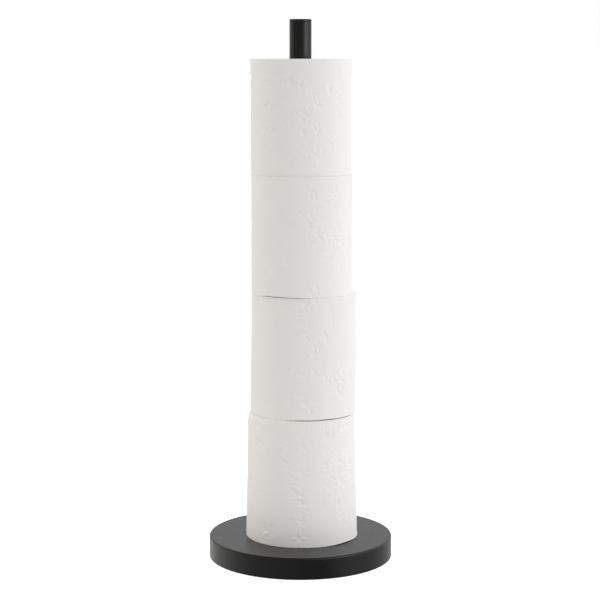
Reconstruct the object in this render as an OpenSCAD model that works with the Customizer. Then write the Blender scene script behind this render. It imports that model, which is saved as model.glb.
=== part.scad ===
// Freestanding toilet paper holder: a weighted round base with an upright post,
// loaded with a stack of four spare rolls.
// The origin is the centre of the foot pad's underside, +Z is up, units are millimetres.

/* [Base] */
// Outside diameter of the pressed base cover
base_d = 162; // [125:1:220]
// Height of the base cover, rim to top face
cover_h = 18.9; // [15:0.1:30]
// Sheet thickness of the base cover
cover_t = 1.2; // [0.8:0.1:2]
// Outside radius of the cover's top edge
cover_round = 1.4; // [1.3:0.1:4]
// Gap between the cover's wall and the ballast disc
ballast_gap = 0.5; // [0.3:0.1:1.5]
// Clearance between the bolt's head and the floor
head_clearance = 3.1; // [1.5:0.1:4]
// Clearance round the washers in the ballast's recess
recess_play = 2; // [1:0.5:6]
// Thickness of the foot pad
pad_t = 3; // [2:0.5:5]
// How far the pad's edges stand in from the ballast's edges
pad_inset = 2; // [0.5:0.5:6]
// How far the foot pad stands below the cover's rim
pad_proud = 0.8; // [0.4:0.1:1.5]

/* [Post] */
// Outside diameter of the post tube
post_d = 19; // [14:0.5:24]
// Wall thickness of the post tube
post_wall = 1.2; // [0.8:0.1:1.8]
// How far the post stands above the top roll
post_over = 33.8; // [10:0.1:80]
// Thickness of the end cap's flange
cap_flange_t = 2.2; // [1.5:0.1:4]
// Depth of the end cap's plug inside the tube
cap_plug_l = 9; // [5:1:15]
// Wall thickness of the end cap's plug
cap_plug_wall = 1.6; // [1:0.1:2.5]
// Length of the threaded insert inside the tube
insert_l = 20; // [15:1:35]
// Diameter of the insert's locating spigot
spigot_d = 12; // [11:0.5:12.5]
// Length of the spigot below the end of the tube
spigot_l = 4; // [2:0.5:5]

/* [Fixing] */
// Nominal thread diameter of the base bolt
bolt_d = 8; // [6:1:8]
// Length of the bolt under its head
bolt_l = 25; // [20:1:30]
// Diameter of the bolt's button head
bolt_head_d = 14; // [12:0.5:16]
// Height of the bolt's button head
bolt_head_h = 4.4; // [3:0.1:4.6]
// Width across flats of the bolt's hexagon socket
bolt_socket_af = 5; // [4:0.5:6]
// Thickness of the split spring washer
spring_washer_t = 2; // [1.5:0.1:2.2]
// Outside diameter of the split spring washer
spring_washer_d = 14.8; // [12:0.1:16]
// Outside diameter of the flat washer
flat_washer_d = 28; // [20:1:40]
// Thickness of the flat washer
flat_washer_t = 2; // [1.5:0.1:2.2]

/* [Rolls] */
// Height of a nominal roll, which is the width of its sheet
roll_h = 105; // [85:1:126]
// Outside diameter of a nominal roll
roll_d = 90; // [75:1:110]
// Inside diameter of the cardboard core
core_d = 40; // [33:1:48]
// Wall thickness of the cardboard core
core_wall = 1; // [0.6:0.1:2]
// Radius of a roll's outer edges
roll_round = 1; // [0.5:0.1:4]
// Clearance under each roll
roll_gap = 0.3; // [0.2:0.1:1]
// Extra height of each roll, bottom roll first
roll_extra_h = [5.5, 1, -2, -6.5];
// Extra diameter at the top of each roll, bottom roll first
roll_extra_top = [3.4, 1.4, -1.6, -2.4];
// Extra diameter at the foot of each roll, bottom roll first
roll_extra_foot = [8.4, 3.2, -1.4, -2.4];
// Sideways offset of each roll on the post, bottom roll first
roll_offset_x = [0.8, 2.6, 1, 0.3];
// Front-to-back offset of each roll on the post, bottom roll first
roll_offset_y = [-0.6, 0.8, -1.2, 0.5];

/* [Hidden] */
$fn = 96;

POWDER_BLACK = "#2a2a2b";
CAST_GREY = "#5b5c5e";
PAD_BLACK = "#1c1c1d";
ZINC = "#b9bcc0";
CARDBOARD = "#b79a78";
TISSUE = "#f1eeea";

// Fits
slip = 0.05;        // radial play of a piece that seats or turns in or on another
hole_play = 0.2;    // radial play of the bolt and the spigot in their holes
end_play = 0.5;     // room past the end of the spigot
cut_past = 1;       // how far a cut runs past the face that it opens

// Heights in the base
base_top = pad_proud + cover_h;
web_top = base_top - cover_t;
spring_z = head_clearance + bolt_head_h;
washer_z = spring_z + spring_washer_t;
web_z = washer_z + flat_washer_t;
spigot_recess = spigot_l - cover_t + end_play;

// Radii in the base
base_r = base_d / 2;
cover_inner_r = base_r - cover_t;
ballast_r = cover_inner_r - ballast_gap;
ballast_chamfer = cover_round;
recess_r = flat_washer_d / 2 + recess_play;
pad_r = ballast_r - pad_inset;
pad_hole_r = recess_r + pad_inset;
pad_round = 0.6;    // radius of the pad's lower edges
bolt_r = bolt_d / 2;
bolt_hole_r = bolt_r + hole_play;
spigot_hole_r = spigot_d / 2 + hole_play;

// The post
post_r = post_d / 2;
post_bore_r = post_r - post_wall;
stack_top = roll_z(roll_count());
post_top = stack_top + post_over;
tube_top = post_top - cap_flange_t;
tube_edge = 0.25;   // chamfers above and below the seam between the tube and its cap
cap_round = min(0.8, cap_flange_t / 2);     // radius of the cap's top edge

// The rolls
core_bore_r = core_d / 2;
core_outer_r = core_bore_r + core_wall;
tissue_bore_r = core_outer_r + slip;

function roll_count() = len(roll_extra_h);
function roll_height(i) = roll_h + roll_extra_h[i];
function top_radius(i) = (roll_d + roll_extra_top[i]) / 2;
function foot_radius(i) = (roll_d + roll_extra_foot[i]) / 2;

// Height of roll i's underside. Roll 0 stands on the base.
function roll_z(i) = i == 0
    ? base_top + roll_gap
    : roll_z(i - 1) + roll_height(i - 1) + (i < roll_count() ? roll_gap : 0);

// Half outline of a disc with its top outer edge rounded
module rounded_disc_outline(r, h, round) {
    square([r, h - round]);
    square([r - round, h]);
    translate([r - round, h - round])
        circle(round);
}

module tube(r_out, r_in, h) {
    difference() {
        cylinder(r = r_out, h = h);
        translate([0, 0, -cut_past])
            cylinder(r = r_in, h = h + 2 * cut_past);
    }
}

// Pressed steel shell, open underneath, with a centre hole for the spigot
module base_cover() {
    color(POWDER_BLACK)
    translate([0, 0, pad_proud])
    difference() {
        rotate_extrude()
            rounded_disc_outline(base_r, cover_h, cover_round);
        translate([0, 0, -cut_past])
        rotate_extrude()
            rounded_disc_outline(
                cover_inner_r,
                cover_h - cover_t + cut_past,
                cover_round - cover_t
            );
        translate([0, 0, cover_h - cover_t - cut_past])
            cylinder(r = spigot_hole_r, h = cover_t + 2 * cut_past);
    }
}

// Cast disc that weighs the base down, recessed for the washers and the bolt's head
module ballast_disc() {
    color(CAST_GREY)
    difference() {
        rotate_extrude()
            polygon([
                [0, pad_t],
                [ballast_r, pad_t],
                [ballast_r, web_top - ballast_chamfer],
                [ballast_r - ballast_chamfer, web_top],
                [0, web_top]
            ]);
        translate([0, 0, pad_t - cut_past])
            cylinder(r = recess_r, h = web_z - pad_t + cut_past);
        translate([0, 0, web_top - spigot_recess])
            cylinder(r = spigot_hole_r, h = spigot_recess + cut_past);
        translate([0, 0, web_z - cut_past])
            cylinder(r = bolt_hole_r, h = web_top - web_z + 2 * cut_past);
    }
}

// Soft pad glued under the ballast, with a hole for the bolt. It alone touches the floor.
module foot_pad() {
    pad_w = pad_r - pad_hole_r;
    color(PAD_BLACK)
    rotate_extrude()
    translate([pad_hole_r, 0]) {
        translate([0, pad_round])
            square([pad_w, pad_t - pad_round]);
        translate([pad_round, 0])
            square([pad_w - 2 * pad_round, pad_t]);
        for (x = [pad_round, pad_w - pad_round])
            translate([x, pad_round])
            circle(pad_round);
    }
}

// Upright tube, lightly chamfered at its top edge
module post_tube() {
    tube_l = tube_top - base_top;
    color(POWDER_BLACK)
    translate([0, 0, base_top])
    rotate_extrude()
        polygon([
            [post_bore_r, 0],
            [post_r, 0],
            [post_r, tube_l - tube_edge],
            [post_r - tube_edge, tube_l],
            [post_bore_r, tube_l]
        ]);
}

// Flush cap: a flange as wide as the tube over a hollow plug pressed inside it
module post_end_cap() {
    plug_r = post_bore_r - slip;
    color(POWDER_BLACK)
    translate([0, 0, tube_top])
    difference() {
        union() {
            rotate_extrude()
                rounded_disc_outline(post_r, cap_flange_t, cap_round);
            translate([0, 0, -cap_plug_l])
                cylinder(r = plug_r, h = cap_plug_l);
        }
        translate([0, 0, -cap_plug_l - cut_past])
            cylinder(r = plug_r - cap_plug_wall, h = cap_plug_l + cut_past);
        rotate_extrude()
            polygon([
                [post_r - tube_edge, 0],
                [post_r + cut_past, -cut_past],
                [post_r + cut_past, tube_edge],
                [post_r, tube_edge]
            ]);
    }
}

// Steel bush fixed in the foot of the tube. Its spigot centres the post in the base.
module post_insert() {
    color(ZINC)
    difference() {
        union() {
            translate([0, 0, base_top])
                cylinder(r = post_bore_r - slip, h = insert_l);
            translate([0, 0, base_top - spigot_l])
                cylinder(r = spigot_d / 2, h = spigot_l + cut_past);
        }
        translate([0, 0, base_top - spigot_l - cut_past])
            cylinder(r = bolt_r + slip, h = insert_l + spigot_l + 2 * cut_past);
    }
}

// Button-head bolt, up through the washers and the ballast into the insert
module base_bolt() {
    head_round = bolt_head_h / 2;
    tip_chamfer = 1;
    socket_depth = bolt_head_h * 0.6;
    color(ZINC)
    translate([0, 0, spring_z])
    difference() {
        union() {
            mirror([0, 0, 1])
            rotate_extrude()
                rounded_disc_outline(bolt_head_d / 2, bolt_head_h, head_round);
            rotate_extrude()
                polygon([
                    [0, -cut_past],
                    [bolt_r, -cut_past],
                    [bolt_r, bolt_l - tip_chamfer],
                    [bolt_r - tip_chamfer, bolt_l],
                    [0, bolt_l]
                ]);
        }
        translate([0, 0, -bolt_head_h - cut_past])
            cylinder(d = bolt_socket_af / cos(30), h = socket_depth + cut_past, $fn = 6);
    }
}

// Split spring washer under the bolt's head
module spring_washer() {
    split_w = 1.2;
    split_slant = 20;
    color(ZINC)
    translate([0, 0, spring_z])
    difference() {
        tube(spring_washer_d / 2, bolt_hole_r, spring_washer_t);
        translate([bolt_r, 0, spring_washer_t / 2])
        rotate([split_slant, 0, 0])
        translate([0, -split_w / 2, -2 * spring_washer_t])
            cube([spring_washer_d, split_w, 4 * spring_washer_t]);
    }
}

// Wide flat washer that spreads the bolt's load over the ballast's web
module flat_washer() {
    color(ZINC)
    translate([0, 0, washer_z])
        tube(flat_washer_d / 2, bolt_hole_r, flat_washer_t);
}

// Puts roll i's own pieces at its place on the post
module at_roll(i) {
    translate([roll_offset_x[i], roll_offset_y[i], roll_z(i)])
        children();
}

// Spiral-wound cardboard tube, cut flush with the ends of the roll
module roll_core(i) {
    color(CARDBOARD)
    at_roll(i)
        tube(core_outer_r, core_bore_r, roll_height(i));
}

// Tissue wound on the core: a ring that may be wider at its foot than at its top
module roll_tissue(i) {
    h = roll_height(i);
    foot = foot_radius(i);
    top = top_radius(i);
    color(TISSUE)
    at_roll(i)
    rotate_extrude() {
        polygon([
            [tissue_bore_r, 0],
            [foot - roll_round, 0],
            [foot, roll_round],
            [top, h - roll_round],
            [top - roll_round, h],
            [tissue_bore_r, h]
        ]);
        translate([foot - roll_round, roll_round])
            circle(roll_round);
        translate([top - roll_round, h - roll_round])
            circle(roll_round);
    }
}

base_cover();
ballast_disc();
foot_pad();
post_tube();
post_end_cap();
post_insert();
base_bolt();
spring_washer();
flat_washer();
for (i = [0 : roll_count() - 1]) {
    roll_core(i);
    roll_tissue(i);
}
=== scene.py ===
"""Looks for a freestanding toilet paper holder with four rolls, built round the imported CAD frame.

Lengths inside the roll code are in millimetres, and meshes are made in metres.
Angles run anticlockwise from +X seen from above, so the camera is at -90 degrees.
"""

import math

import bpy
import numpy as np
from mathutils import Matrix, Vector


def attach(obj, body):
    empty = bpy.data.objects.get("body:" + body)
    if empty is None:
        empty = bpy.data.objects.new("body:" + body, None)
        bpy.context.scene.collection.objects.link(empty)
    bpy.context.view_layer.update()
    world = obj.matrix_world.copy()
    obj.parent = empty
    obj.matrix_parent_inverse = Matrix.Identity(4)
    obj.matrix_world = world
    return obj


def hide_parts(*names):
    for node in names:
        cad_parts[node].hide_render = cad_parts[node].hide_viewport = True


MM = 0.001
TURN = 2 * math.pi

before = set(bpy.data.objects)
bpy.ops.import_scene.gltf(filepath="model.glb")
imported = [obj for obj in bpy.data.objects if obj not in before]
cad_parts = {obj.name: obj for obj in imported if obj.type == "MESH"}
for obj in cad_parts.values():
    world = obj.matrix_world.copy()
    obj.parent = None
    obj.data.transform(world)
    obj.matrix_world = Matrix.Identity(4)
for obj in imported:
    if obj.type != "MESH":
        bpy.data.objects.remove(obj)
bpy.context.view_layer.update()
scene = bpy.context.scene


# ---------------------------------------------------------------- camera and stage

CAMERA_DISTANCE = 1.535                 # m from the post's axis
CAMERA_HEIGHT = 0.4417
CAMERA_SIDE = -0.0004
CAMERA_TILT = math.radians(7.87)        # downwards
CAMERA_LENS = 106.1                     # mm, on the sensor below
SENSOR_WIDTH = 36

LIGHT_FRONT = 0.43                      # the world's strength as it lights the object
LIGHT_SIDE = 1.55
LIGHT_BEHIND = 0.55                     # times the side's, straight behind
WORLD_LEFT = (1.0, 0.985, 0.962)        # the world's colour on either side
WORLD_RIGHT = (0.99, 1.0, 1.005)

SHINE_FRONT = 0.22                      # the world's strength in the object's reflections
SHINE_BACK = 0.76
SHINE_KEY = 0.9                         # what the key light's glow adds to that
SHINE_LOW_LEFT = 0.20                   # and what rays going down add, to the left and the right
SHINE_LOW_RIGHT = -0.24

KEY_PLACE = (1.38, -0.72, 0.5)
KEY_TARGET = (0, 0, 0.25)
KEY_SIZE = (1.0, 1.3)
KEY_POWER = 5.7
KEY_TINT = (0.95, 1.0, 1.08)

FILL_PLACE = (0.02, -0.42, 0.05)        # a small light for the foot of the lowest roll
FILL_TARGET = (0, 0, 0.03)
FILL_SIZE = (0.2, 0.04)
FILL_POWER = 0.055

FLOOR_HALF = 40.0                       # half the floor's side
FLOOR_PAINT = (0.9, 0.9, 0.9)
FLOOR_GLOW = 0.9                        # light that the floor adds where the camera sees it
FLOOR_BOUNCE = (0.62, 0.62, 0.62)       # the floor's colour as it lights the object


def make_camera():
    data = bpy.data.cameras.new("camera")
    data.lens = CAMERA_LENS
    data.sensor_width = SENSOR_WIDTH
    camera = bpy.data.objects.new("camera", data)
    camera.location = (CAMERA_SIDE, -CAMERA_DISTANCE, CAMERA_HEIGHT)
    camera.rotation_euler = (math.pi / 2 - CAMERA_TILT, 0, 0)
    scene.collection.objects.link(camera)
    scene.camera = camera


def make_area_light(name, place, target, size, power, colour=(1, 1, 1), shines=True):
    data = bpy.data.lights.new(name, "AREA")
    data.shape = "RECTANGLE"
    data.size, data.size_y = size
    data.energy = power
    data.color = colour
    light = bpy.data.objects.new(name, data)
    light.location = place
    light.rotation_euler = (Vector(target) - Vector(place)).to_track_quat("-Z", "Y").to_euler()
    light.visible_camera = False
    light.visible_glossy = shines
    scene.collection.objects.link(light)


def world_light(world, to_back):
    """The world's strength as it lights the object: dim in front, brightest beside."""
    beside = remap(world, to_back, (-1.0, 0.3), (0.0, 1.0), "SMOOTHSTEP")
    beside = remap(world, beside, (0.0, 1.0), (LIGHT_FRONT, LIGHT_SIDE))
    behind = remap(world, to_back, (0.3, 1.0), (1.0, LIGHT_BEHIND), "SMOOTHSTEP")
    return math_node(world, "MULTIPLY", beside, behind)


def world_shine(world, direction, to_right, to_back, upward):
    """Its strength in reflections: a rim at the back, the key light's glow and the low sides."""
    rim = remap(world, to_back, (-0.6, 0.35), (SHINE_FRONT, SHINE_BACK), "SMOOTHSTEP")
    towards_key = world.node_tree.nodes.new("ShaderNodeVectorMath")
    towards_key.operation = "DOT_PRODUCT"
    towards_key.inputs[1].default_value = Vector(KEY_PLACE).normalized()
    world.node_tree.links.new(direction, towards_key.inputs[0])
    glow = remap(world, towards_key.outputs["Value"], (0.70, 0.97), (0.0, SHINE_KEY), "SMOOTHSTEP")
    below = remap(world, upward, (-0.25, -0.08), (1.0, 0.0), "SMOOTHSTEP")
    low_side = remap(world, to_right, (-0.7, 0.9), (SHINE_LOW_LEFT, SHINE_LOW_RIGHT))
    return math_node(world, "ADD", math_node(world, "ADD", rim, glow),
                     math_node(world, "MULTIPLY", below, low_side))


def make_world():
    """White to the camera, brighter to the sides as it lights, and darker in reflections."""
    world = bpy.data.worlds.new("studio")
    scene.world = world
    world.use_nodes = True
    nodes, links = world.node_tree.nodes, world.node_tree.links
    nodes.clear()
    output = nodes.new("ShaderNodeOutputWorld")
    seen = nodes.new("ShaderNodeBackground")
    seen.inputs["Color"].default_value = (1, 1, 1, 1)
    cast = nodes.new("ShaderNodeBackground")
    coords = nodes.new("ShaderNodeTexCoord")
    split = nodes.new("ShaderNodeSeparateXYZ")
    links.new(coords.outputs["Generated"], split.inputs[0])
    path = nodes.new("ShaderNodeLightPath")
    to_right, to_back, upward = (split.outputs[axis] for axis in "XYZ")
    tint = remap(world, to_right, (-0.6, 0.9), (0.0, 1.0))
    links.new(blend_colours(world, tint, WORLD_LEFT, WORLD_RIGHT), cast.inputs["Color"])
    choose = nodes.new("ShaderNodeMix")
    links.new(path.outputs["Is Glossy Ray"], choose.inputs["Factor"])
    links.new(world_light(world, to_back), choose.inputs["A"])
    shine = world_shine(world, coords.outputs["Generated"], to_right, to_back, upward)
    links.new(shine, choose.inputs["B"])
    links.new(choose.outputs["Result"], cast.inputs["Strength"])
    mix = nodes.new("ShaderNodeMixShader")
    links.new(path.outputs["Is Camera Ray"], mix.inputs[0])
    links.new(cast.outputs[0], mix.inputs[1])
    links.new(seen.outputs[0], mix.inputs[2])
    links.new(mix.outputs[0], output.inputs["Surface"])


def make_floor():
    """White to the camera, grey as it lights the object, and not there in reflections."""
    mesh = bpy.data.meshes.new("floor")
    corners = [(x * FLOOR_HALF, y * FLOOR_HALF, 0) for x, y in ((-1, -1), (1, -1), (1, 1), (-1, 1))]
    mesh.from_pydata(corners, [], [(0, 1, 2, 3)])
    floor = bpy.data.objects.new("floor", mesh)
    scene.collection.objects.link(floor)
    material, shader = new_material("floor_paint", FLOOR_PAINT, roughness=0.9)
    nodes, links = material.node_tree.nodes, material.node_tree.links
    shader.inputs["Specular IOR Level"].default_value = 0.0
    shader.inputs["Emission Color"].default_value = (1, 1, 1, 1)
    path = nodes.new("ShaderNodeLightPath")
    seen = path.outputs["Is Camera Ray"]
    links.new(math_node(material, "MULTIPLY", seen, FLOOR_GLOW), shader.inputs["Emission Strength"])
    links.new(blend_colours(material, seen, FLOOR_BOUNCE, FLOOR_PAINT), shader.inputs["Base Color"])
    clear = nodes.new("ShaderNodeBsdfTransparent")
    mix = nodes.new("ShaderNodeMixShader")
    links.new(path.outputs["Is Glossy Ray"], mix.inputs[0])
    links.new(shader.outputs[0], mix.inputs[1])
    links.new(clear.outputs[0], mix.inputs[2])
    links.new(mix.outputs[0], nodes["Material Output"].inputs["Surface"])
    mesh.materials.append(material)


# ---------------------------------------------------------------- material helpers

NOISE_SPAN = (0.3, 0.7)     # where most of a noise's values lie


def new_material(name, colour, roughness, metallic=0.0):
    """A material of one colour, and the shader that the rest of its look is wired to."""
    material = bpy.data.materials.new(name)
    material.use_nodes = True
    shader = material.node_tree.nodes["Principled BSDF"]
    shader.inputs["Base Color"].default_value = (*colour, 1)
    shader.inputs["Roughness"].default_value = roughness
    shader.inputs["Metallic"].default_value = metallic
    return material, shader


def place_vector(material, scale=(1, 1, 1), offset=(0, 0, 0)):
    """Object coordinates in metres, moved by offset and then scaled."""
    nodes, links = material.node_tree.nodes, material.node_tree.links
    coords = nodes.new("ShaderNodeTexCoord")
    move = nodes.new("ShaderNodeVectorMath")
    move.operation = "ADD"
    move.inputs[1].default_value = offset
    grow = nodes.new("ShaderNodeVectorMath")
    grow.operation = "MULTIPLY"
    grow.inputs[1].default_value = scale
    links.new(coords.outputs["Object"], move.inputs[0])
    links.new(move.outputs[0], grow.inputs[0])
    return grow.outputs[0]


def noise(material, vector, scale, detail=3.0, rough=0.5):
    """Fractal noise about 0.5, with scale cells to a metre."""
    nodes, links = material.node_tree.nodes, material.node_tree.links
    texture = nodes.new("ShaderNodeTexNoise")
    texture.inputs["Scale"].default_value = scale
    texture.inputs["Detail"].default_value = detail
    texture.inputs["Roughness"].default_value = rough
    links.new(vector, texture.inputs["Vector"])
    return texture.outputs["Fac"]


def math_node(material, operation, first, second=None):
    """A Math node's result for numbers or sockets."""
    nodes, links = material.node_tree.nodes, material.node_tree.links
    node = nodes.new("ShaderNodeMath")
    node.operation = operation
    for socket, value in zip(node.inputs, (first, second)):
        if value is None:
            continue
        if isinstance(value, (int, float)):
            socket.default_value = value
        else:
            links.new(value, socket)
    return node.outputs[0]


def remap(material, value, span, to_span, curve="LINEAR"):
    """Takes the span of a value to another span, and holds it at the ends."""
    nodes, links = material.node_tree.nodes, material.node_tree.links
    node = nodes.new("ShaderNodeMapRange")
    node.interpolation_type = curve
    for name, number in zip(("From Min", "From Max", "To Min", "To Max"), (*span, *to_span)):
        node.inputs[name].default_value = number
    links.new(value, node.inputs["Value"])
    return node.outputs["Result"]


def blend_colours(material, factor, first, second):
    """A colour that goes from the first to the second, each a tuple or a socket."""
    nodes, links = material.node_tree.nodes, material.node_tree.links
    mix = nodes.new("ShaderNodeMix")
    mix.data_type = "RGBA"
    for socket, colour in zip((mix.inputs["A"], mix.inputs["B"]), (first, second)):
        if isinstance(colour, tuple):
            socket.default_value = (*colour, 1)
        else:
            links.new(colour, socket)
    links.new(factor, mix.inputs["Factor"])
    return mix.outputs["Result"]


def mottle(material, shader, factor, first, second):
    """Wires the shader's colour to a blend of two, each a tuple or a socket."""
    colour = blend_colours(material, factor, first, second)
    material.node_tree.links.new(colour, shader.inputs["Base Color"])


def vary_roughness(material, shader, factor, smooth, rough):
    """Wires the shader's roughness to a noise, from smooth to rough over the noise's usual span."""
    value = remap(material, factor, NOISE_SPAN, (smooth, rough))
    material.node_tree.links.new(value, shader.inputs["Roughness"])


def add_bump(material, shader, height, distance, strength):
    """Adds a bump layer under any that the shader already has."""
    nodes, links = material.node_tree.nodes, material.node_tree.links
    bump = nodes.new("ShaderNodeBump")
    bump.inputs["Distance"].default_value = distance
    bump.inputs["Strength"].default_value = strength
    links.new(height, bump.inputs["Height"])
    before = shader.inputs["Normal"]
    if before.is_linked:
        links.new(before.links[0].from_socket, bump.inputs["Normal"])
    links.new(bump.outputs["Normal"], before)


def add_grain(material, shader, vector, scale, detail, distance, strength, rough=0.5):
    """Adds a bump layer of noise."""
    add_bump(material, shader, noise(material, vector, scale, detail, rough), distance, strength)


# ---------------------------------------------------------------- materials


def powder_coat():
    """Satin black powder coat: a fine orange-peel skin with faint cloudiness."""
    material, shader = new_material("powder_coat", (0.007, 0.007, 0.0072), roughness=0.3)
    shader.inputs["Specular IOR Level"].default_value = 0.42
    vector = place_vector(material)
    cloud = noise(material, vector, scale=45, detail=2)
    mottle(material, shader, cloud, (0.0060, 0.0060, 0.0062), (0.0082, 0.0082, 0.0083))
    vary_roughness(material, shader, noise(material, vector, scale=260), smooth=0.27, rough=0.33)
    add_grain(material, shader, vector, scale=1500, detail=2, distance=0.00003, strength=0.5)
    add_grain(material, shader, vector, scale=420, detail=2, distance=0.00006, strength=0.35)
    return material


def cap_plastic():
    """Black plastic, a shade paler and duller than the coat round it."""
    material, shader = new_material("cap_plastic", (0.011, 0.011, 0.0112), roughness=0.45)
    shader.inputs["Specular IOR Level"].default_value = 0.42
    vector = place_vector(material)
    cloud = noise(material, vector, scale=90, detail=2)
    mottle(material, shader, cloud, (0.0095, 0.0095, 0.0098), (0.0130, 0.0129, 0.0131))
    vary_roughness(material, shader, noise(material, vector, scale=400), smooth=0.42, rough=0.50)
    add_grain(material, shader, vector, scale=2200, detail=2, distance=0.00003, strength=0.6)
    return material


def cast_iron():
    """Rough grey casting, as it comes from the sand."""
    material, shader = new_material("cast_iron", (0.09, 0.09, 0.093), roughness=0.7, metallic=0.6)
    vector = place_vector(material)
    cloud = noise(material, vector, scale=60, detail=5, rough=0.6)
    mottle(material, shader, cloud, (0.06, 0.058, 0.056), (0.13, 0.13, 0.135))
    add_grain(material, shader, vector, scale=900, detail=4, distance=0.0003, strength=0.8, rough=0.65)
    return material


def pad_foam():
    """Dull black foam with fine cells."""
    material, shader = new_material("pad_foam", (0.014, 0.014, 0.014), roughness=0.95)
    cells = noise(material, place_vector(material), scale=1400, rough=0.6)
    mottle(material, shader, cells, (0.009, 0.009, 0.009), (0.022, 0.022, 0.022))
    add_bump(material, shader, cells, distance=0.0002, strength=0.9)
    return material


def zinc_plate():
    """Bright zinc on steel, clouded where it is duller."""
    material, shader = new_material("zinc_plate", (0.60, 0.61, 0.63), roughness=0.32, metallic=1.0)
    vector = place_vector(material)
    cloud = noise(material, vector, scale=300, detail=4)
    mottle(material, shader, cloud, (0.50, 0.51, 0.54), (0.68, 0.69, 0.70))
    vary_roughness(material, shader, cloud, smooth=0.24, rough=0.42)
    add_grain(material, shader, vector, scale=2500, detail=2, distance=0.00003, strength=0.5)
    return material


def core_board(name, centre, foot):
    """Spiral-wound grey-brown board with a helical seam and long fibres."""
    seam_pitch = 0.075      # rise of the board's strip in one turn
    seam_half = 0.012       # half the seam's width, as a share of that rise
    material, shader = new_material(name, (0.40, 0.30, 0.20), roughness=0.9)
    nodes, links = material.node_tree.nodes, material.node_tree.links
    vector = place_vector(material, offset=(-centre[0], -centre[1], -foot))
    split = nodes.new("ShaderNodeSeparateXYZ")
    links.new(vector, split.inputs[0])
    angle = math_node(material, "ARCTAN2", split.outputs["Y"], split.outputs["X"])
    turns = math_node(material, "DIVIDE", angle, TURN)
    rise = math_node(material, "DIVIDE", split.outputs["Z"], seam_pitch)
    phase = math_node(material, "FRACT", math_node(material, "SUBTRACT", rise, turns))
    off = math_node(material, "ABSOLUTE", math_node(material, "SUBTRACT", phase, 0.5))
    seam = remap(material, off, (0.0, seam_half), (1.0, 0.0))
    fibres = noise(material, place_vector(material, (1, 1, 0.35)), scale=700, detail=5, rough=0.7)
    blotch = noise(material, vector, scale=60)
    tone = math_node(material, "ADD", math_node(material, "MULTIPLY", fibres, 0.6),
                     math_node(material, "MULTIPLY", blotch, 0.4))
    plain = blend_colours(material, tone, (0.30, 0.215, 0.135), (0.50, 0.385, 0.265))
    mottle(material, shader, math_node(material, "MULTIPLY", seam, 0.7), plain, (0.16, 0.11, 0.065))
    add_bump(material, shader, math_node(material, "SUBTRACT", 1.0, seam), distance=0.0003, strength=0.6)
    add_bump(material, shader, fibres, distance=0.0001, strength=0.6)
    return material


TISSUE_LIGHT = (0.890, 0.866, 0.846)
TISSUE_SHADE = (0.862, 0.836, 0.812)


def tissue_wall():
    """Creped tissue seen on the roll's side: fine ridges that run along the roll's axis."""
    material, shader = new_material("tissue_wall", TISSUE_LIGHT, roughness=0.92)
    shader.inputs["Specular IOR Level"].default_value = 0.15
    shader.inputs["Sheen Weight"].default_value = 0.12
    shader.inputs["Sheen Roughness"].default_value = 0.6
    vector = place_vector(material)
    cloud = noise(material, vector, scale=70, detail=4, rough=0.6)
    mottle(material, shader, cloud, TISSUE_SHADE, TISSUE_LIGHT)
    ridged = place_vector(material, (1, 1, 0.3))
    add_grain(material, shader, ridged, scale=1300, detail=3, distance=0.00008, strength=0.5, rough=0.6)
    add_grain(material, shader, vector, scale=380, detail=4, distance=0.00015, strength=0.35, rough=0.6)
    return material


def tissue_end(name, centre):
    """Tissue seen edge-on at the end of a roll: the wound layers show as fine rings, with painted shade
    where they dip.
    """
    layer = 0.00062         # spacing of the rings that show, a few sheets each
    wander_by = 0.0035      # how far the rings stray from true circles
    material, shader = new_material(name, TISSUE_LIGHT, roughness=0.95)
    nodes, links = material.node_tree.nodes, material.node_tree.links
    shader.inputs["Specular IOR Level"].default_value = 0.1
    flat = place_vector(material, (1, 1, 0), (-centre[0], -centre[1], 0))
    wander = noise(material, flat, scale=55)
    length = nodes.new("ShaderNodeVectorMath")
    length.operation = "LENGTH"
    links.new(flat, length.inputs[0])
    radius = math_node(material, "ADD", length.outputs["Value"],
                       math_node(material, "MULTIPLY", wander, wander_by))
    rings = math_node(material, "SINE", math_node(material, "MULTIPLY", radius, TURN / layer))
    broken = noise(material, flat, scale=900, detail=4, rough=0.7)
    height = math_node(material, "ADD", math_node(material, "MULTIPLY", rings, 0.25), broken)
    # painted shade: the colour darkens where the rings dip between the layers, and varies at random with
    # the broken noise too
    tone = remap(material, height, (0.1, 0.9), (0.0, 1.0))
    mottle(material, shader, tone, (0.78, 0.73, 0.65), (0.90, 0.878, 0.84))
    add_bump(material, shader, height, distance=0.0003, strength=0.6)
    return material


# ---------------------------------------------------------------- fields on a roll


def smooth_step(t):
    """An ease from 0 to 1 with no jump in its slope or in its curve."""
    return t * t * t * (t * (6 * t - 15) + 10)


def soft_noise(turns, along, cells, cell_height, seed):
    """Smooth random field from -1 to 1 that closes on itself once round the roll.

    Each field has a seed of its own, so that changing one leaves the others as they are.
    """
    spare_rows = 4
    rows = int(abs(along).max() / cell_height) + spare_rows
    table = np.random.default_rng(seed).uniform(-1, 1, (rows, cells))
    x, y = turns * cells, np.abs(along) / cell_height
    i, j = np.floor(x).astype(int), np.floor(y).astype(int)
    fx, fy = smooth_step(x - i), smooth_step(y - j)
    a, b = i % cells, (i + 1) % cells
    low = table[j, a] * (1 - fx) + table[j, b] * fx
    high = table[j + 1, a] * (1 - fx) + table[j + 1, b] * fx
    return low * (1 - fy) + high * fy


def near_angle(turns, degrees, spread):
    """A smooth bump of height 1 round a heading, spread degrees wide to each side."""
    away = (turns * 360 - degrees + 180) % 360 - 180
    return np.exp(-((away / spread) ** 2))


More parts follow.
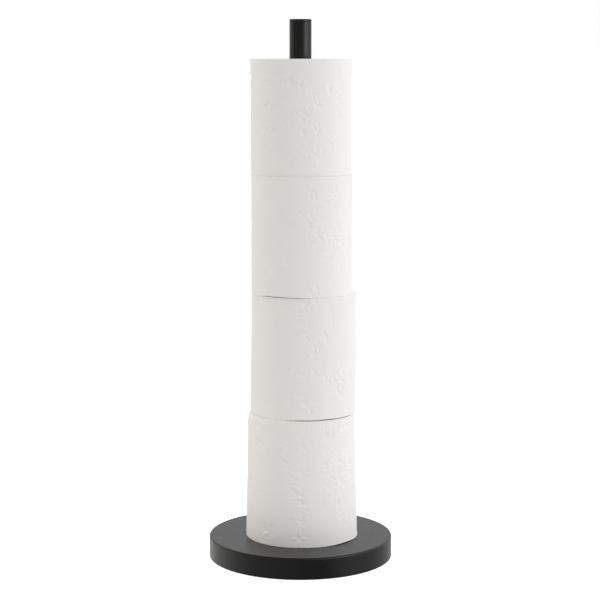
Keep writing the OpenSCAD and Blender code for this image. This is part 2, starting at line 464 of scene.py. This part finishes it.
def ellipse_outline(a, b, half_long, half_wide, line):
    """Groove along an ellipse's outline, and the pillow inside it."""
    pillow_height = 0.45
    size = np.hypot(a / half_long, b / half_wide)
    groove = np.exp(-(((size - 1) * half_wide / line) ** 2))
    pillow = np.clip(1 - size, 0, 1)
    return pillow_height * pillow - groove


def flower(a, b):
    """Four outlined petals round a small centre."""
    centre_r, petal_reach, petal_long, petal_wide, line = 0.8, 4.9, 3.9, 2.2, 0.6
    height = -np.exp(-((np.hypot(a, b) / centre_r) ** 2))
    for quarter in range(4):
        turn = quarter * TURN / 4
        x = a * math.cos(turn) + b * math.sin(turn) - petal_reach
        y = -a * math.sin(turn) + b * math.cos(turn)
        height = height + ellipse_outline(x, y, petal_long, petal_wide, line)
    return height


def sprig(a, b):
    """A curved stem with two outlined leaves."""
    stem_depth, stem_half, stem_end, sway, wave = 0.8, 7.5, 0.4, 1.6, 3.4
    leaf_up, leaf_out, leaf_long, leaf_wide, line = 2.6, 3.6, 2.8, 1.4, 0.5
    leaf_cos, leaf_sin = 0.8, 0.6
    inside = 1 / (1 + np.exp((np.abs(a) - stem_half) / stem_end))
    height = -stem_depth * np.exp(-(((b - sway * np.sin(a / wave)) / line) ** 2)) * inside
    for side in (-1, 1):
        up, out = a - side * leaf_up, b - side * leaf_out
        x = up * leaf_cos + out * leaf_sin
        y = -up * leaf_sin + out * leaf_cos
        height = height + ellipse_outline(x, y, leaf_long, leaf_wide, line)
    return height


def emboss(turns, along, girth):
    """Flowers and sprigs on a staggered grid that closes round the roll."""
    pair_wide, tall, tilt = 46, 22.0, 0.35
    columns = 2 * round(girth / pair_wide)
    wide = girth / columns
    s = turns * girth
    column = np.floor(s / wide)
    odd = column % 2
    a = s - (column + 0.5) * wide
    t = along + odd * tall / 2
    row = np.floor(t / tall)
    b = t - (row + 0.5) * tall
    flip = np.where((row + column) % 3 == 0, -1.0, 1.0)
    lean = tilt * flip
    x = a * np.cos(lean) + b * np.sin(lean)
    y = -a * np.sin(lean) + b * np.cos(lean)
    return np.where(odd == 0, flower(x, y), sprig(y, x * flip))


# ---------------------------------------------------------------- rolls


class RollSizes:
    """A CAD tissue ring's sizes in millimetres, read from its mesh."""

    def __init__(self, node):
        co = np.empty(len(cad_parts[node].data.vertices) * 3)
        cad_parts[node].data.vertices.foreach_get("co", co)
        co = co.reshape(-1, 3) / MM
        self.low, self.high = co[:, 2].min(), co[:, 2].max()
        self.height = self.high - self.low
        self.centre = (co[:, :2].max(0) + co[:, :2].min(0)) / 2
        spread = np.hypot(*(co[:, :2] - self.centre).T)
        end_height = 0.2 * self.height      # what counts as the foot and as the top
        self.foot_r = spread[co[:, 2] < self.low + end_height].max()
        self.top_r = spread[co[:, 2] > self.high - end_height].max()
        self.bore_r = self.mean_bore(co)

    def mean_bore(self, co):
        """Mean distance to the centre of the innermost points in the ring's lower face."""
        level, count = 0.01, 8
        foot = co[co[:, 2] < self.low + level, :2]
        inwards = np.argsort(np.hypot(*(foot - co[:, :2].mean(0)).T))
        return np.hypot(*(foot[inwards[:count]] - self.centre).T).mean()


class RollLook:
    """What makes one roll differ from the next. Headings are in degrees, lengths in millimetres."""

    def __init__(self, seed, tail, foot_lifts=(), top_dips=(), lips=(), lean=0.0,
                 trails=(), flowers=(), petals=(), dents=(), crumples=()):
        self.seed = seed
        self.tail = tail                # heading of the loose end of the paper
        self.foot_lifts = foot_lifts    # (heading, spread, height): the lower rim stands up here
        self.top_dips = top_dips        # (heading, spread, depth): the upper rim sinks here
        self.lips = lips                # (heading, spread, at the foot?, reach): the rim flares out
        self.lean = lean                # how much further to +X the top is than the foot
        self.trails = trails            # paths of (heading, height) along which the emboss crinkles
        self.flowers = flowers          # (heading, height) of the boldest embossed flowers
        self.petals = petals            # (heading, height, turn, half length) of single petals
        self.dents = dents              # (heading, height, size, depth) of soft dents
        self.crumples = crumples        # (heading, height, half width, half height) of slanted creases


ROLL_LOOKS = {
    1: RollLook(
        seed=11, tail=118,
        foot_lifts=((-40, 15, 0.5),),
        top_dips=((-40, 22, 0.12),),
        lips=((-25, 40, True, 0.5), (180, 42, False, -1.6)),
        lean=-0.2,
        trails=(
            ((-113, 90), (-104, 68), (-93, 47), (-88, 31)),
            ((-138, 22), (-131, 12), (-122, 6)),
            ((-60, 66), (-50, 50), (-46, 30), (-36, 18)),
        ),
        flowers=((-92, 7.5),),
        petals=((-133, 16, 30, 3.2), (-128, 9, -50, 3.0), (-45, 27, 60, 2.6),
                (-94, 30, 60, 2.4), (-88, 28, 100, 2.4), (-82, 30, 130, 2.4)),
        dents=((-60, 96, 4, 0.35), (-36, 70, 4, -0.3)),
        crumples=((-42, 60, 22, 34), (-38, 101, 26, 7), (-131, 14, 12, 8)),
    ),
    2: RollLook(
        seed=22, tail=75,
        foot_lifts=((-92, 12, 0.7), (-64, 17, 0.85), (-36, 13, 0.5)),
        top_dips=((-140, 24, 0.08),),
        lips=((-170, 25, True, -0.5),),
        lean=0.9,
        trails=(
            ((-98, 96), (-90, 76), (-78, 62), (-66, 74)),
            ((-99, 22), (-90, 14), (-82, 8)),
            ((-106, 44), (-92, 42), (-79, 41)),
            ((-66, 36), (-52, 30), (-44, 22), (-40, 34)),
        ),
        flowers=((-52, 31),),
        petals=((-68, 74, 80, 2.9), (-64, 74, 104, 2.9), (-80, 61, 85, 2.4), (-76, 61, 95, 2.6),
                (-72, 61, 80, 2.4), (-81, 41, 70, 2.6), (-77, 42, 110, 2.6), (-55, 84, 20, 2.4)),
        dents=((-46, 26, 4, 0.3), (-70, 50, 5, 0.2)),
        crumples=((-46, 32, 15, 12),),
    ),
    3: RollLook(
        seed=33, tail=140,
        foot_lifts=((-124, 18, 0.75), (-97, 13, 0.4)),
        lips=((-5, 20, True, 1.3),),
        trails=(
            ((-96, 76), (-81, 65), (-67, 53), (-63, 41), (-50, 28)),
            ((-66, 77), (-58, 86), (-50, 92)),
            ((-46, 60), (-42, 48), (-38, 38)),
            ((-112, 24), (-106, 30)),
        ),
        flowers=((-50, 50),),
        petals=((-64, 43, 90, 4.0), (-74, 5, 75, 2.8), (-70, 5, 105, 2.8), (-89, 55, 85, 2.6),
                (-85, 55, 95, 2.6)),
        dents=((-60, 33, 4, 0.25), (-93, 74, 4, 0.25)),
    ),
    4: RollLook(
        seed=44, tail=98,
        foot_lifts=((-116, 18, 0.04),),
        top_dips=((150, 60, 0.3),),
        lips=((175, 22, True, -0.6),),
        trails=(
            ((-131, 80), (-116, 82), (-103, 82), (-80, 76), (-58, 73)),
            ((-88, 76), (-87, 62), (-85, 47)),
            ((-86, 36), (-68, 35), (-54, 36), (-48, 24)),
            ((-136, 76), (-122, 70)),
            ((-104, 14), (-92, 18), (-72, 20)),
        ),
        petals=((-54, 4.5, 70, 3.4), (-51, 4.5, 110, 3.4), (-84, 46, 90, 3.2), (-76, 36, 10, 2.6),
                (-70, 35, 90, 2.4), (-46, 62, 60, 2.8)),
        dents=((-102, 80, 3.2, 0.8), (-97, 80, 2.6, -0.5), (-61, 74, 2.6, -0.7), (-57, 72, 2.4, 0.9),
               (-88, 48, 3, 0.5)),
    ),
}

AROUND = 464            # points round a roll
WALL_RINGS = 166        # rings up its side
EDGE_RINGS = 2          # rings round each outer edge
END_RINGS = 15          # rings across each end face

# From here to SWELL_DEPTH in millimetres
EDGE_ROUND = 0.04       # the outer edges' radius
EDGE_HOLD = 0.05        # from the outer edges to the next ring of the side
RIM_LEVEL = 3.0         # in from the side, an end face stays at its rim's height over this
RIM_FALL = 3.5          # and then falls back over this
NEAREST = 0.146         # how far a rim may reach past its CAD end face
END_SINK = 0.22         # how far an end face lies behind its CAD face, away from the rim
END_WAVES = 0.10        # how uneven it is there
BORE_SINK = 0.2         # how far it lies behind at the bore
LEAN_FADE = 8.0         # in from the bore, the roll's lean comes in over this
LIP_HEIGHT = 2.4        # how far a lip reaches up or down the side
WALL_INSET = 0.15       # the plain side lies inside the CAD side by this
SHEET_STEP = 0.35       # the step down at the paper's loose end
TAIL_LIFT = 0.9         # how far the loose end stands off
DASH_PITCH = 3.2        # from one cut of a perforation to the next
DASH_DEPTH = 0.09
BROAD_DEPTH = 0.16      # soft unevenness of the side, from broad to fine
MIDDLE_DEPTH = 0.07
PUCKER_DEPTH = 0.035
CREASE_DEPTH = 0.05
GATHER_DEPTH = 0.05     # slanted gathers at the foot
GATHER_HEIGHT = 16
EMBOSS_DEPTH = 0.18
BOLD_DEPTH = 0.24       # the boldest flowers and petals
TRAIL_DEPTH = 0.52
TRAIL_WIDTH = 3.6
CRUMPLE_DEPTH = 0.23
WOBBLE_DEPTH = 0.004    # fine waviness of a rim
SWELL_DEPTH = 0.003     # slow waviness of a rim

SHEETS_A_TURN = 2.3     # sheets of paper in one turn, which sets where the perforations lie


def rim_height(turns, bumps, seed):
    """How far a rim stands back from its CAD end face, at least -NEAREST."""
    height = sum(tall * near_angle(turns, heading, spread) for heading, spread, tall in bumps)
    level = np.zeros_like(turns)
    wobble = soft_noise(turns, level, cells=26, cell_height=1.0, seed=seed)
    swell = soft_noise(turns, level, cells=7, cell_height=1.0, seed=seed + 1)
    lowest = -WOBBLE_DEPTH - SWELL_DEPTH
    return height + WOBBLE_DEPTH * wobble + SWELL_DEPTH * swell - lowest - NEAREST


def tail_profile(turns, along, look, height):
    """The outermost sheet's loose end: it lifts towards its edge, then drops by its thickness."""
    waver_by, lift_over = 0.0035, 0.018                 # both in turns
    back = ((turns * 360 - look.tail) % 360) / 360      # 0 just past the edge, 1 just before it
    one_place = turns * 0
    waver = soft_noise(one_place, along, cells=3, cell_height=height / 5, seed=look.seed + 5)
    back = (back + waver_by * waver) % 1.0
    uneven = soft_noise(one_place, along, cells=3, cell_height=height / 3, seed=look.seed + 6)
    lift = TAIL_LIFT * (0.55 + 0.45 * uneven) * np.exp((back - 1) / lift_over)
    return SHEET_STEP * back + lift


def perforation(turns, along, look):
    """Two dashed lines across the outermost sheets, a sheet's length apart."""
    line_half = 0.0016      # in turns
    between = 0.4           # how deep the line is between its cuts, against 1 in them
    cut = 0.5 + 0.5 * np.sign(np.sin(along * TURN / DASH_PITCH))
    depth = 0
    for count in (1, 2):
        line = (look.tail / 360 - count / SHEETS_A_TURN) % 1.0
        away = (turns - line + 0.5) % 1.0 - 0.5
        depth = depth + np.exp(-((away / line_half) ** 2)) * (between + (1 - between) * cut)
    return -DASH_DEPTH * depth


def arc_between(turns, heading, girth):
    """Distance round the roll's side from a heading, in millimetres."""
    return ((turns * 360 - heading + 180) % 360 - 180) / 360 * girth


def near_path(turns, along, path, girth, width):
    """A smooth band of height 1 along a path of (heading, height) points."""
    nearest = np.full(np.broadcast(turns, along).shape, 1e9)
    for (start_h, start_z), (stop_h, stop_z) in zip(path, path[1:]):
        a = arc_between(turns, start_h, girth)
        b = along - start_z
        run = (stop_h - start_h) / 360 * girth
        rise = stop_z - start_z
        share = np.clip((a * run + b * rise) / (run * run + rise * rise), 0, 1)
        nearest = np.minimum(nearest, np.hypot(a - share * run, b - share * rise))
    return np.exp(-((nearest / width) ** 2))


def trail_marks(turns, along, look, girth):
    """Crinkles of the emboss along this roll's trails."""
    fine = soft_noise(turns, along, cells=110, cell_height=2.4, seed=look.seed + 40)
    curl = soft_noise(turns, along, cells=62, cell_height=4.4, seed=look.seed + 41)
    crinkle = 0.55 * fine + 0.9 * (0.35 - np.exp(-((curl / 0.22) ** 2)))
    height = 0.0
    for count, path in enumerate(look.trails):
        patchy = soft_noise(turns, along, cells=40, cell_height=8, seed=look.seed + 50 + count)
        band = near_path(turns, along, path, girth, TRAIL_WIDTH)
        height = height + TRAIL_DEPTH * crinkle * (0.65 + 0.5 * patchy) * band
    return height


def flower_marks(turns, along, look, girth):
    """This roll's boldest flowers and single petals, unevenly worn."""
    height = 0.0
    for heading, at in look.flowers:
        wear = soft_noise(turns, along, cells=60, cell_height=5, seed=look.seed + 43)
        motif = flower(arc_between(turns, heading, girth), along - at)
        height = height + BOLD_DEPTH * (0.75 + 0.4 * wear) * motif
    for heading, at, turn, reach in look.petals:
        a, b = arc_between(turns, heading, girth), along - at
        cos, sin = math.cos(math.radians(turn)), math.sin(math.radians(turn))
        wear = soft_noise(turns, along, cells=70, cell_height=4, seed=look.seed + 42)
        petal = ellipse_outline(a * cos + b * sin, b * cos - a * sin, reach, 0.6 * reach, line=0.5)
        height = height + BOLD_DEPTH * (0.6 + 0.5 * wear) * petal
    return height


def damage_marks(turns, along, look, girth):
    """This roll's soft dents and the slanted folds of its crumpled patches."""
    height = 0.0
    for heading, at, size, depth in look.dents:
        away = np.hypot(arc_between(turns, heading, girth), along - at)
        height = height - depth * np.exp(-((away / size) ** 2))
    for heading, at, half_wide, half_tall in look.crumples:
        a, b = arc_between(turns, heading, girth), along - at
        inside = np.exp(-((a / half_wide) ** 2 + (b / half_tall) ** 2) ** 2)
        long_folds = soft_noise(turns + 0.0012 * along, along, cells=84, cell_height=5.0,
                                seed=look.seed + 60)
        kinks = soft_noise(turns - 0.0024 * along, along, cells=70, cell_height=4.6,
                           seed=look.seed + 61)
        folds = np.exp(-((long_folds / 0.25) ** 2)) + 0.6 * np.exp(-((kinks / 0.25) ** 2))
        height = height + CRUMPLE_DEPTH * inside * (0.5 - folds)
    return height


def wall_field(turns, along, look, height, girth):
    """Height of the roll's side over its plain surface, in millimetres."""
    seed = look.seed
    broad = soft_noise(turns, along, cells=5, cell_height=48, seed=seed + 10)
    middle = soft_noise(turns, along, cells=19, cell_height=21, seed=seed + 11)
    pucker = soft_noise(turns, along, cells=66, cell_height=6, seed=seed + 12)
    slanted = turns + 0.0040 * along
    crease = soft_noise(slanted, along, cells=30, cell_height=34, seed=seed + 13)
    creased = np.clip(soft_noise(turns, along, cells=8, cell_height=30, seed=seed + 14), 0, 1)
    creases = -np.exp(-((crease / 0.10) ** 2)) * creased
    slanted_back = turns - 0.0052 * along
    gather = soft_noise(slanted_back, along, cells=84, cell_height=9, seed=seed + 15)
    gathers = gather * np.exp(-along / GATHER_HEIGHT)
    pressed = soft_noise(turns, along, cells=9, cell_height=26, seed=seed + 16)
    kept = np.clip(0.45 + 0.9 * pressed, 0.05, 1)       # how much of the emboss is left
    motif = kept * emboss(turns + 0.013 * seed, along + 0.9 * seed, girth)
    return (BROAD_DEPTH * broad + MIDDLE_DEPTH * middle + PUCKER_DEPTH * pucker
            + CREASE_DEPTH * creases + GATHER_DEPTH * gathers + EMBOSS_DEPTH * motif
            + trail_marks(turns, along, look, girth) + flower_marks(turns, along, look, girth)
            + damage_marks(turns, along, look, girth) + perforation(turns, along, look)
            + tail_profile(turns, along, look, height))


class RollSurface:
    """One roll's surface as rings of points. A ring is (radii, heights, is it in an end face?)."""

    def __init__(self, sizes, look):
        self.sizes, self.look = sizes, look
        self.turns = np.arange(AROUND) / AROUND
        self.girth = TURN * (sizes.foot_r + sizes.top_r) / 2
        self.low = sizes.low + rim_height(self.turns, look.foot_lifts, look.seed + 20)
        self.high = sizes.high - rim_height(self.turns, look.top_dips, look.seed + 21)

    def side_radius(self, z):
        sizes, look = self.sizes, self.look
        share = (z - sizes.low) / sizes.height
        radius = sizes.foot_r + (sizes.top_r - sizes.foot_r) * share - WALL_INSET
        along = np.clip(z - sizes.low, 0, sizes.height)
        radius = radius + wall_field(self.turns, along, look, sizes.height, self.girth)
        for heading, spread, at_foot, reach in look.lips:
            far = along if at_foot else sizes.height - along
            flare = near_angle(self.turns, heading, spread) * np.exp(-far / LIP_HEIGHT)
            radius = radius + reach * flare
        return radius

    def side(self):
        """Rings from the lower outer edge to the upper one."""
        first, last = self.low + EDGE_ROUND, self.high - EDGE_ROUND
        shares = np.arange(WALL_RINGS) / (WALL_RINGS - 1)
        between = [first + EDGE_HOLD + (last - first - 2 * EDGE_HOLD) * share for share in shares]
        return [(self.side_radius(z), z, False) for z in (first, *between, last)]

    def outer_edge(self, edge, rim, up):
        """Rings round the edge from the side to the end face."""
        bends = [step / EDGE_RINGS * math.pi / 2 for step in range(1, EDGE_RINGS + 1)]
        return [(edge - EDGE_ROUND * (1 - math.cos(bend)),
                 rim - up * EDGE_ROUND * (1 - math.sin(bend)), True) for bend in bends]

    def end(self, at_top):
        """Rings from the side to the bore: level near the rim, then sunk and a little uneven."""
        sizes, seed = self.sizes, self.look.seed
        rim, flat, up = (self.high, sizes.high, 1) if at_top else (self.low, sizes.low, -1)
        edge = self.side_radius(rim - up * EDGE_ROUND)
        rings = self.outer_edge(edge, rim, up)
        for step in range(1, END_RINGS + 1):
            share = step / END_RINGS
            radius = (edge - EDGE_ROUND) * (1 - share) + sizes.bore_r * share
            away = np.maximum(edge - radius - RIM_LEVEL, 0)
            level = np.exp(-(away / RIM_FALL) ** 2)
            waves = soft_noise(self.turns, radius, cells=9, cell_height=6.0, seed=seed + 30 + at_top)
            layers = soft_noise(self.turns * 0, radius, cells=3, cell_height=1.6,
                                seed=seed + 32 + at_top)
            sink = END_SINK + END_WAVES * waves + END_WAVES * layers
            rings.append((radius, rim * level + (flat - up * sink) * (1 - level), True))
        rings[-1] = (radius, np.full(AROUND, flat - up * BORE_SINK), True)
        return rings

    def rings(self):
        """All rings in order round the section: up the side, in over the top, out under the foot."""
        return self.side() + self.end(at_top=True) + self.end(at_top=False)[::-1]


def roll_mesh(name, sizes, look, wall_material, end_material):
    """A closed ring of wound tissue: side, rims, both end faces and the bore, in one grid."""
    surface = RollSurface(sizes, look)
    radii, heights, in_end = zip(*surface.rings())
    radii, heights = np.array(radii), np.array(heights)
    angle = surface.turns * TURN
    shear = look.lean * ((heights - sizes.low) / sizes.height - 0.5)
    shear = shear * np.clip((radii - sizes.bore_r) / LEAN_FADE, 0, 1)
    x = sizes.centre[0] + radii * np.cos(angle) + shear
    y = sizes.centre[1] + radii * np.sin(angle)
    points = np.stack([x, y, heights], -1).reshape(-1, 3) * MM

    count = len(radii)
    ring, step = np.meshgrid(np.arange(count), np.arange(AROUND), indexing="ij")
    next_ring, next_step = (ring + 1) % count, (step + 1) % AROUND
    corners = [ring * AROUND + step, ring * AROUND + next_step,
               next_ring * AROUND + next_step, next_ring * AROUND + step]
    faces = np.stack(corners, -1).reshape(-1, 4)
    slots = np.repeat([int(a or b) for a, b in zip(in_end, in_end[1:] + in_end[:1])], AROUND)
    return grid_object(name, points, faces, slots, (wall_material, end_material))


def grid_object(name, points, faces, slots, materials):
    """A smooth-shaded object of four-sided faces, in the materials' slots."""
    mesh = bpy.data.meshes.new(name)
    mesh.vertices.add(len(points))
    mesh.vertices.foreach_set("co", points.astype(np.float32).ravel())
    mesh.loops.add(faces.size)
    mesh.loops.foreach_set("vertex_index", faces.astype(np.int32).ravel())
    mesh.polygons.add(len(faces))
    mesh.polygons.foreach_set("loop_start", np.arange(0, faces.size, 4, dtype=np.int32))
    for material in materials:
        mesh.materials.append(material)
    mesh.polygons.foreach_set("material_index", slots.astype(np.int32))
    mesh.polygons.foreach_set("use_smooth", np.ones(len(faces), bool))
    mesh.update(calc_edges=True)
    mesh.validate()
    obj = bpy.data.objects.new(name, mesh)
    scene.collection.objects.link(obj)
    return obj


def make_rolls():
    wall = tissue_wall()
    for number, look in ROLL_LOOKS.items():
        node = f"roll_{number}_tissue"
        core = f"roll_{number}_core"
        sizes = RollSizes(node)
        centre = sizes.centre * MM
        end = tissue_end(f"tissue_end_{number}", centre)
        paper = roll_mesh(f"roll_{number}_paper", sizes, look, wall, end)
        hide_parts(node)
        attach(paper, f"roll_{number}_wound")
        dress(core, core_board(f"core_board_{number}", centre, sizes.low * MM))


# ---------------------------------------------------------------- stand


def dress(node, material):
    """Gives a CAD node its material and leaves its mesh as it is."""
    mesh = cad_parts[node].data
    mesh.materials.clear()
    mesh.materials.append(material)


def make_stand():
    coat = powder_coat()
    zinc = zinc_plate()
    for node in ("base_cover", "post_tube"):
        dress(node, coat)
    for node in ("post_insert", "base_bolt", "spring_washer", "flat_washer"):
        dress(node, zinc)
    dress("post_end_cap", cap_plastic())
    dress("ballast_disc", cast_iron())
    dress("foot_pad", pad_foam())


# ---------------------------------------------------------------- make it all

scene.view_settings.view_transform = "Standard"
scene.view_settings.look = "None"
make_camera()
make_world()
make_floor()
make_area_light("key", KEY_PLACE, KEY_TARGET, KEY_SIZE, KEY_POWER, KEY_TINT)
make_area_light("foot_fill", FILL_PLACE, FILL_TARGET, FILL_SIZE, FILL_POWER, shines=False)
make_stand()
make_rolls()
